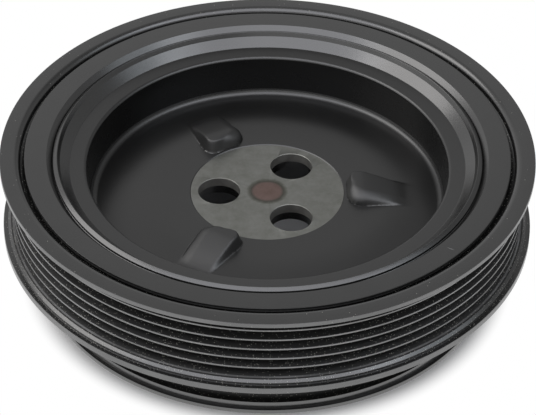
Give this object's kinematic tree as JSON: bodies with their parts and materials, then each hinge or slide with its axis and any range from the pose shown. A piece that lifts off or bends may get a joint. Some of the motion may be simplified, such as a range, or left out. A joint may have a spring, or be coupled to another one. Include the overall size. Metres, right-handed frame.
{
  "type": "crankshaft_pulley",
  "caption": "Crankshaft pulley with a ribbed belt ring and an inertia ring, both carried on rubber round a deep-cupped black steel hub with bolt holes and gussets.",
  "frame": {"origin": "middle of the inertia ring's rear face", "axes": "+Z is the crankshaft's axis, towards the front of the engine; +X points at one gusset"},
  "size_m": [0.165, 0.165, 0.045],
  "materials": {
    "black_paint": "satin",
    "hub_paint": "satin",
    "inertia_iron": "painted black",
    "rubber": "matte"
  },
  "bodies": {
    "root": {"pulley_ring": "black_paint", "carrier_ring": "black_paint", "coupling_rubber": "rubber", "hub": "hub_paint", "damper_rubber": "rubber", "inertia_ring": "inertia_iron"}
  },
  "joints": []
}
